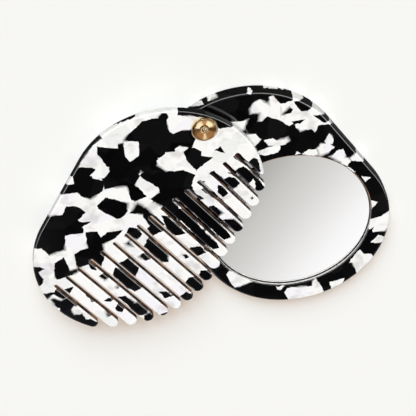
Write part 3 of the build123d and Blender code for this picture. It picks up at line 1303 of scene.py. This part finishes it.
# The shards as they lie in the photographed piece, each by its corners: x and y, millimetres
COMB_BLACK: tuple[Shard, ...] = (
    ((-58.5, 43.3), (-52.2, 41.5), (-50, 40.5), (-50, 27), (-58.2, 27.2), (-58.7, 42)),
    ((-52.1, 43), (-50.2, 43.7), (-49.8, 39), (-52.3, 40.5)),
    ((-50.1, 44.6), (-44.3, 50.4), (-37.3, 50.4), (-36.6, 45.3), (-36.6, 36), (-50.2, 36)),
    ((-39.1, 51.3), (-38.2, 52.2), (-36.7, 51.9), (-36.3, 50.4), (-37.1, 49.6), (-39, 50)),
    ((-38.5, 45.2), (-36.7, 45.2), (-35.3, 43.9), (-35.3, 37.8), (-38.5, 37.4)),
    ((-35.6, 43.9), (-32, 44.9), (-29, 44.6), (-28.8, 41), (-30.2, 38.2), (-31.8, 37.9), (-35.6, 39)),
    ((-51, 38.3), (-41.2, 38.3), (-41.2, 26.5), (-51, 26.5)),
    ((-42.5, 31), (-38.3, 30.8), (-32.4, 30), (-30, 27.6), (-31.5, 23.5), (-35, 19.3), (-43.6, 19.3)),
    ((-45, 35), (-41.2, 34.6), (-38.3, 30.6), (-39, 28), (-45, 28)),
    ((-34, 24.5), (-31.6, 24.4), (-30.4, 20.6), (-31, 17), (-36, 19)),
    ((-31, 20.8), (-30.4, 20.6), (-28, 17.6), (-31, 17)),
    ((-51.4, 27.6), (-48.1, 27.6), (-45.4, 22), (-49.5, 20.5), (-50.3, 21.5)),
    ((-32.7, 37), (-31.8, 38.3), (-30.2, 38.3), (-27.5, 36.3), (-27.5, 34.8), (-29.3, 29.4), (-32.2, 33.4)),
    ((-28.2, 34.9), (-24, 33.2), (-29.3, 29.4), (-30.2, 32)),
    ((-22.8, 35.7), (-21.4, 36.8), (-20.4, 34.7)),
    ((-67.4, 33.6), (-65.2, 36.5), (-61.6, 35.8), (-61.5, 27), (-66.4, 27)),
    ((-61.9, 35.9), (-59.9, 35), (-62, 33.8)),
    ((-66.6, 30.5), (-62, 32.2), (-58.2, 29.8), (-59.1, 26.6), (-61.5, 25), (-63, 24), (-65.8, 25.7)),
    ((-72.2, 27.4), (-70.4, 30.6), (-66.5, 30.6), (-65.7, 27.4)),
    ((-70.7, 22.4), (-68, 21.8), (-65.3, 19.2), (-66.3, 17.4), (-68.3, 15.8), (-72.5, 16), (-72.4, 19.3)),
    ((-78, 19.5), (-69, 19.5), (-66.6, 12.6), (-67, 11.1), (-72.6, 11), (-84, 12)),
    ((-84.5, 12.3), (-72.6, 12.3), (-72.8, 9.5), (-80.2, 7.6), (-85, 7.9)),
    ((-68.5, 15.6), (-64.2, 15), (-67, 13.6)),
    ((-81, 10.2), (-80.3, 7.4), (-78.8, 4.1), (-73.4, 5.4), (-72.6, 12.3)),
    ((-61, 21.2), (-58.2, 23.7), (-51.5, 20), (-52.4, 17), (-54.2, 15), (-55.8, 14.8), (-60.9, 19.9)),
    ((-51.4, 16.3), (-48.7, 19.5), (-46, 17.2), (-46.5, 14.5)),
    ((-49.2, 18.8), (-46, 17.4), (-41.2, 9.8), (-45.9, 10.4)),
    ((-44.4, 20.7), (-42, 18), (-40.8, 17), (-37, 17), (-35, 21)),
    ((-41, 17.8), (-41, 16.3), (-38.2, 10.4), (-35, 10.2), (-33, 14), (-36, 19.5)),
    ((-66, 11), (-62.5, 10.5), (-61, 5.7), (-61.3, 1), (-62.6, -3.4), (-66, 0)),
    ((-70.6, 2.6), (-68.7, 3.8), (-65, 4.4), (-62, -1.4), (-70.3, -1.4)),
    ((-70.4, -1), (-66.4, -1.4), (-70.2, -3.3)),
    ((-61.9, 7.8), (-59.2, 9.8), (-54.7, 9.8), (-57, 7.3), (-61.4, 5.2)),
    ((-77.5, 0.4), (-74.2, 2.1), (-73.1, -4.2), (-74, -6.2), (-77.3, -6.6), (-78, -5.7)),
    ((-74, -3.9), (-70.2, -3.4), (-70.4, -4.8), (-73.8, -6)),
    ((-86, 0.2), (-82, -0.7), (-80.9, -1.6), (-83, -2.3), (-86, -2.5)),
    ((-87, -2), (-83.2, -2.2), (-82, -5.5), (-82.4, -7.2), (-83.8, -8.5), (-87, -8)),
    ((-79.4, -12.4), (-78, -10.6), (-76.9, -11), (-75.1, -14.8), (-76.4, -15.6)),
    ((-84, -12.1), (-79.2, -12.1), (-81.7, -14.8)),
    ((-75.5, -11.3), (-73, -10.9), (-74.2, -13)),
    ((-77.4, -16.1), (-74.5, -15.2), (-72.4, -18.6), (-74.2, -21), (-78.6, -20.4)),
    ((-80, -19.8), (-74.4, -20), (-70.7, -23.2), (-70.5, -32), (-77, -29)),
    ((-71.6, -24.6), (-68.8, -25.8), (-66.3, -28), (-64.6, -31), (-71, -32)),
    ((-63.8, -8), (-62.3, -9.8), (-60, -8.7), (-61.4, -6.5)),
    ((-67.1, -0.9), (-65.2, -1.8), (-64.6, -4.8), (-65.8, -4.3)),
    ((-63, -18.6), (-61.5, -17.7), (-59.1, -18.6), (-61.5, -19.4)),
    ((-60.1, -22.4), (-59, -20.9), (-57.2, -23), (-58.4, -24.4), (-59.8, -23.8)),
    ((-58.6, -18.1), (-56.4, -18.1), (-53.6, -21), (-54.4, -22.2), (-55.9, -21.7)),
    ((-59.4, -8.3), (-58.2, -5.4), (-56.9, -6.3), (-50.7, -15.2), (-53, -16.4), (-55.4, -14.2)),
    ((-55.8, -21.7), (-52.2, -21.2), (-49.4, -25.6), (-50.2, -27.1), (-52.9, -27)),
    ((-50.8, -27.6), (-49.3, -26.9), (-47.8, -28.6), (-48.3, -31), (-50.5, -30.7), (-51.1, -29)),
    ((-57.1, -3.8), (-53.9, -1.9), (-50.8, -6.8), (-52.2, -9.7), (-53.3, -9.5)),
    ((-53.9, 7.2), (-52, 10.2), (-49.5, 9.3), (-48.5, 7.2), (-50.1, 5.2), (-52, 6.2)),
    ((-54, 4), (-52.6, 4.9), (-51.8, 2.8), (-53, 3.1)),
    ((-50.3, -2), (-49.2, -0.9), (-48, -1.3), (-46.9, -3.5), (-48.5, -3.9)),
    ((-48, 1.7), (-46.3, 5.3), (-44.4, 3.4), (-40.7, -3.2), (-41.3, -6), (-43.2, -5.9)),
    ((-46.7, 8.9), (-44, 11.2), (-41.6, 9.4), (-41.5, 7.7), (-45, 6.1)),
    ((-41.2, 13.2), (-38.5, 12.6), (-33.1, 5.2), (-38, 4.8), (-40.3, 6.4)),
    ((-34.2, -3.2), (-33, -1.6), (-30.2, -1.7), (-28.9, -4.2), (-31.8, -5.1)),
    ((-37, 14.5), (-33, 15), (-31.1, 11), (-30.4, 8.6), (-30, 1.3), (-35, 9.6)),
    ((-31.6, 8.8), (-28.4, 5.6), (-24.9, -1), (-24.7, -3.3), (-26.4, -3.5), (-30.1, 1.1)),
    ((-36.2, 20.4), (-33.2, 22.3), (-31.4, 20.7), (-26.9, 12), (-29, 9.4), (-33.1, 15)),
    ((-30.7, 14.7), (-27.4, 13.2), (-21.9, 3.8), (-20.3, 0.5), (-22.5, -0.1), (-27.7, 5.8), (-30.5, 11)),
    ((-22.4, 8), (-18.6, 7.9), (-16.2, 3.4), (-16.7, 1.7), (-18, 1.5)),
    ((-26.4, 14.2), (-25, 14), (-22.2, 10.6), (-25, 9), (-26.6, 11)),
    ((-29.3, 24.5), (-27.4, 24.5), (-27.9, 22.8)),
    ((-28, 21.4), (-26.8, 22.4), (-24.2, 19.2), (-22, 15.8), (-23.8, 16.2), (-26.5, 19.5)),
    ((-25.3, 27.3), (-24, 27.9), (-21.1, 24.3), (-20.5, 22.2), (-22.5, 23.7)),
    ((-22.9, 21.8), (-21.5, 21.2), (-20.1, 18.8), (-21.5, 17.5), (-22.9, 19.2)),
    ((-21, 23.8), (-19.2, 24.7), (-17.6, 23.9), (-16.1, 22), (-17, 20.7), (-18.5, 19.9), (-20.1, 22.3)),
    ((-19, 26.5), (-14.6, 27.8), (-12.4, 25.7), (-11.6, 23.5), (-13.6, 21.6)),
    ((-17.4, 32.6), (-16, 33.3), (-12.4, 28.6), (-13.8, 28.2)),
    ((-13.5, 28.8), (-11, 30.9), (-10, 30), (-9.5, 25.4), (-10.7, 25.5)),
    ((-11, 21.6), (-9.3, 20.6), (-8.5, 18.6), (-9.2, 16.8), (-10.8, 17.2), (-11.3, 18.8)),
    ((-12.6, 25), (-11.8, 25.4), (-9.4, 21.2), (-10.6, 21.1)),
    ((-12.8, 15.4), (-12.2, 15.7), (-11.9, 15), (-12.5, 14.7)),
    ((-15.7, 14), (-15, 13.8), (-14, 11.3), (-14.8, 12.4)),
    ((-38.3, -21.7), (-36.3, -20.3), (-34.3, -21.4), (-34.2, -23.6), (-36.2, -25)),
    ((-36.1, -16), (-34.8, -14.1), (-32.5, -14.1), (-30.3, -19), (-30.8, -21.2), (-32.8, -20.9)),
    ((-31.6, -13.8), (-30.8, -11.9), (-28.2, -12.3), (-27, -15.5), (-28, -17.3), (-29.9, -16.4)),
    ((-44.9, -18.2), (-42.7, -18.3), (-40.8, -20.8), (-43.3, -21.1)),
    ((-45.6, -28.1), (-43.1, -27.8), (-43, -29.8), (-45.2, -29.8)),
    ((-36, -4.3), (-35, -4.1), (-34.3, -5.5), (-35.3, -5.7)),
    ((-29.8, -0.1), (-28.8, -0.8), (-26.1, -5.9), (-28.5, -3.6)),
    ((-33.2, 51.1), (-32.4, 53.5), (-26.5, 53), (-24.2, 48.7), (-28, 49.5)),
    ((-25.8, 51), (-24.3, 48), (-20.8, 43.9), (-17.3, 44), (-15.8, 45.5), (-20.5, 51)),
    ((-52.8, 50.2), (-46.2, 52.6), (-45.8, 54.5), (-54, 52)),
    ((-57, 46.4), (-61, 42.9), (-62.4, 44.5), (-58, 48)),
    ((-60.9, 43), (-64.6, 38.1), (-66.5, 39.2), (-62.2, 44.6)),
    ((-64.6, 38.2), (-67.5, 33.7), (-69.6, 34.6), (-66.4, 39.6)),
    ((-76.2, -19.5), (-75, -18.9), (-72, -20.9), (-72.5, -21.5)),
    ((-63.3, -22.9), (-60.9, -25.1), (-63, -25.6)),
    ((-80.5, -14.9), (-79.6, -14.3), (-77, -16.2), (-78.2, -18.6), (-79, -18.4)),
    ((-58.9, -13.4), (-58.4, -13.1), (-58.1, -13.6), (-58.6, -13.9)),
    ((-68.7, -15.2), (-68.2, -15.2), (-66.6, -18.1), (-67.2, -18)),
)
COMB_WHITE: tuple[Shard, ...] = (
    ((-50.4, 44.4), (-45.8, 43), (-46.6, 38.1), (-49.3, 36.2), (-50.6, 38)),
    (
        (-62.1, 33.2), (-60.2, 35.1), (-57.3, 36.4), (-56.1, 35.3),
        (-56.2, 33.7), (-57.8, 31.3), (-60.5, 31.8),
    ),
    ((-60.5, 41), (-58.7, 40), (-56.9, 36.1), (-60.5, 35)),
    ((-48.5, 27.3), (-47, 29.9), (-43.1, 26.4), (-41.4, 24.6), (-41.2, 22.6), (-44.4, 20.5)),
    ((-47.5, 30.6), (-46.6, 31.7), (-46.3, 31.3), (-47, 30.2)),
    ((-41.5, 35), (-38, 37.7), (-32.8, 37.5), (-32, 33.5), (-32, 30), (-38.4, 30.6), (-41, 33.2)),
    ((-32.5, 34.2), (-29.2, 29.3), (-30, 28), (-33, 29.8)),
    ((-34.9, 38.9), (-33.8, 39.6), (-31.1, 38.3), (-33, 37), (-35.2, 37.5)),
    ((-41.1, 16.4), (-39.5, 14.6), (-33.1, 5.6), (-34.4, 5), (-38.4, 10.8)),
    ((-37.6, 19.3), (-36.4, 18.9), (-33.1, 15), (-34, 14.5), (-35.6, 15.1)),
    ((-32, 10.8), (-30.5, 11.3), (-27.2, 5.6), (-29.3, 5.4)),
    ((-28.3, 4.5), (-26.3, 5.1), (-22.4, -2.6), (-24.3, -2.6)),
    ((-74.5, -20.4), (-73.5, -18.9), (-70.5, -19.8), (-70, -22), (-71.5, -23), (-73.9, -22.7)),
    ((-70.9, -22.9), (-69.2, -22.9), (-68.2, -24.8), (-68.5, -25.8), (-70.4, -25.3)),
    ((-67.2, -28.6), (-66.2, -28.3), (-65.9, -29.6), (-66.6, -29.9)),
)
MIRROR_BLACK: tuple[Shard, ...] = (
    ((-34, 58), (-20, 58), (-20, 38), (-34, 38)),
    ((-24, 58), (8, 58), (14, 44), (14, 38), (-26, 40)),
    ((-26, 41), (14, 41), (16, 28), (14, 22), (-6, 25.5), (-22, 30)),
    ((10, 46), (18, 40), (27, 18), (20, 12), (12, 22)),
    ((20, 30), (38, 8), (38, -14), (23, -16), (20, 10)),
    ((20, -12), (36, -8), (32, -26), (10, -37), (6, -26)),
    ((10, -24), (9, -38), (-14, -36), (-25, -28), (-14, -16)),
    ((-13, -36), (-33, -18), (-28, -8), (-20, -10), (-12, -20)),
)
MIRROR_WHITE: tuple[Shard, ...] = (
    ((-10.9, 47), (-9.5, 48.9), (-7.6, 49.9), (-4, 46.8), (-5.5, 44.8), (-10.8, 45.2)),
    ((-7.5, 46.2), (-4, 46.8), (-4.7, 44), (-7.3, 41.7), (-8.4, 42.2)),
    ((-4.7, 50.4), (-3.4, 50.7), (-1.3, 47.2), (-1.5, 40.9), (-5.5, 43.2)),
    ((-1.7, 47.1), (2.4, 47.6), (5.6, 43.2), (4.5, 40.1), (1.2, 38.5), (-1.8, 41.1)),
    ((3, 43.9), (10.6, 44.5), (10.2, 40.3), (4, 39.7)),
    ((2.7, 38.6), (5.2, 40.4), (10.7, 40.1), (9.9, 36.3), (4.5, 35.8)),
    ((7.9, 36.3), (10, 36.7), (9.6, 35.4), (8.8, 34.6)),
    ((9.5, 37.4), (10.3, 39.3), (14.6, 38.6), (15.4, 36.8), (12, 37.1)),
    ((2.3, 47.2), (3.1, 50.5), (5, 50.1), (6.4, 47.3), (3, 46.8)),
    ((8.3, 44.8), (9.6, 47.8), (15.4, 38.8), (9.5, 40)),
    ((6, 43), (8.6, 45), (12, 42), (9.5, 40)),
    ((-12.6, 38), (-9.4, 37.3), (-7.8, 34.8), (-9.7, 32.6), (-12, 35)),
    ((-17.6, 43.1), (-11.8, 42.8), (-13.3, 39.6), (-16, 39.8)),
    ((-7.2, 34.2), (-4.6, 35), (-2.8, 33.7), (-2.2, 31.5), (-6, 31.9)),
    ((-3.1, 33.9), (0.2, 34.2), (0.8, 32.8), (-0.4, 31.7), (-2.7, 31.6)),
    ((-9.2, 30.4), (-6.3, 31.3), (-2.2, 31.9), (-2.1, 30), (-3.1, 28.8), (-7, 28.4), (-9.1, 29.5)),
    ((4.6, 27), (6.6, 28.5), (9.3, 28.3), (10, 25.6), (6, 26.4)),
    ((2.4, 27), (3.4, 28.4), (4.5, 27.2)),
    ((9.4, 28.4), (10.8, 30.1), (13.5, 29.8), (15.3, 27.8), (13, 25.9), (10.2, 25.1)),
    ((11.9, 30.8), (13.6, 33.3), (15, 31), (14.7, 29.2), (12.6, 29.8)),
    ((13.4, 24.4), (15.8, 26.1), (17.8, 26.9), (18.6, 23.5), (17.5, 21.3)),
    ((17, 23.6), (19.6, 22.9), (20.3, 21.6), (19.2, 19.6), (17, 20.8)),
    ((20, 22.6), (22.5, 24.9), (23.6, 24.4), (25.3, 20.8), (23, 20.9), (20.6, 21.5)),
    ((18.8, 19.6), (20, 19), (21.8, 17), (20.8, 16.7)),
    ((23.7, 14.7), (26.7, 13.7), (24.8, 12)),
    ((26.7, 4.5), (29.1, 3.3), (27.3, 1.2)),
    ((26, -3.4), (30.2, -3), (34, -5.6), (31.5, -9.6), (27.4, -9.3), (26, -7.5)),
    ((29.8, -3), (33.6, -0.2), (34, -6), (30.5, -6)),
    ((26.3, -13.3), (29.3, -10.8), (31.2, -12), (30.4, -13.9), (28.5, -14)),
    ((19.7, -19.4), (22.7, -15.9), (24.6, -18.6), (22.8, -22), (19.4, -20.7)),
    ((19.9, -20.5), (23.6, -18.2), (26.6, -18.3), (28, -22), (22, -27.5)),
    ((12.1, -28.3), (17.3, -27.5), (16.6, -29.6), (13.2, -32.4)),
    ((-3.3, -29.7), (-2.2, -27.9), (-0.3, -28), (8, -28.9), (8.5, -35), (-1.8, -35)),
    ((6.3, -26.6), (7.4, -25.4), (8.6, -28), (10.4, -32.2), (8.5, -34), (6, -29)),
    ((-6.1, -26.5), (-2.9, -26.7), (-4.7, -28.6), (-5.7, -27.9)),
    ((-22.5, -18.3), (-21.1, -16.7), (-13.8, -22.9), (-16.5, -23.9), (-19.8, -24.4), (-21.1, -22)),
    ((-11.7, 52.7), (-10.6, 53.8), (-9.3, 53.3), (-10.2, 52.2)),
    ((-5.9, 53.3), (0.4, 51.3), (1.6, 52.8), (-5, 55.4)),
    ((-23.2, 51.6), (-20.6, 52.4), (-20.8, 53.6), (-23.3, 53)),
    ((-28.7, 49.7), (-24.7, 50.7), (-24.8, 51.6), (-28.6, 50.6)),
)
MIRROR_CHIPS: tuple[Shard, ...] = (
    ((-1.1, 43.3), (1.2, 45.6), (2.2, 44.7), (1.6, 43.6), (-0.8, 43)),
    ((2.2, 40), (5.4, 39.9), (4.4, 39.1), (2.6, 39)),
    ((9.2, 41), (13, 40.4), (14.5, 38.8), (12.3, 38), (10.8, 39.4)),
    ((2.8, 47), (7, 47.4), (8.7, 45), (6.9, 43.5), (5.3, 43.3)),
    ((25.9, -8.3), (27.3, -7.5), (27, -8.6)),
)


def main() -> None:
    """Build every sub-assembly in order and report it."""
    comb_acetate = PolishedAcetate(
        "polished_acetate_comb",
        ((Shade.BLACK, COMB_BLACK), (Shade.WHITE, COMB_WHITE)),
        black_share=0.0,
        top=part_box("comb_plate")[1].z / MM,
    ).build()
    mirror_acetate = PolishedAcetate(
        "polished_acetate_mirror",
        ((Shade.BLACK, MIRROR_BLACK), (Shade.WHITE, MIRROR_WHITE), (Shade.BLACK, MIRROR_CHIPS)),
        black_share=0.5,
        top=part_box("mirror_plate")[1].z / MM,
    ).build()
    # Sawn faces, painted warm brown as a glow of light through the thin edge
    sawn_slots_painted_glow = SawnAcetatePaintedGlow().build()
    sawn_lip_painted_glow = SawnAcetatePaintedGlow("sawn_lip_painted_glow", ((0.35, "5c3b24"), (0.65, "ab7c55"))).build()
    # The recess's wall, with painted shade at its foot and a painted pale reflection above
    milled = MilledAcetatePaintedLight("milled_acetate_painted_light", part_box("mirror_glass")[1].z / MM).build()
    brass = TurnedBrass().build()
    nylon = MattePlastic("natural_nylon", ((0.35, "e2ddd0"), (0.6, "efece2")), 0.45).build()
    tape = MattePlastic("foam_tape", ((0.35, "dddbd6"), (0.6, "e9e8e4")), 0.8).build()
    plates = (
        MirrorPlate().build(mirror_acetate, sawn_lip_painted_glow, milled),
        CombPlate().build(comb_acetate, sawn_slots_painted_glow),
    )
    cap = RivetCap().build(brass)
    for piece in (*plates, cap):
        log.info("%s: %d faces", piece.name, len(piece.data.polygons))
    for node, finish in {
        "mirror_glass": SilveredGlass().build(),
        "mirror_tape": tape,
        "rivet_post": brass,
        "spacer_washer": nylon,
        "cap_washer": nylon,
    }.items():
        mesh = frame["nodes"][node].data
        mesh.materials.clear()
        mesh.materials.append(finish)
        log.info("%s takes %s", node, finish.name)
    Studio().build(frame["nodes"]["mirror_glass"], cap, plates)


if __name__ == "__main__":
    logging.basicConfig(level=logging.INFO)
    main()
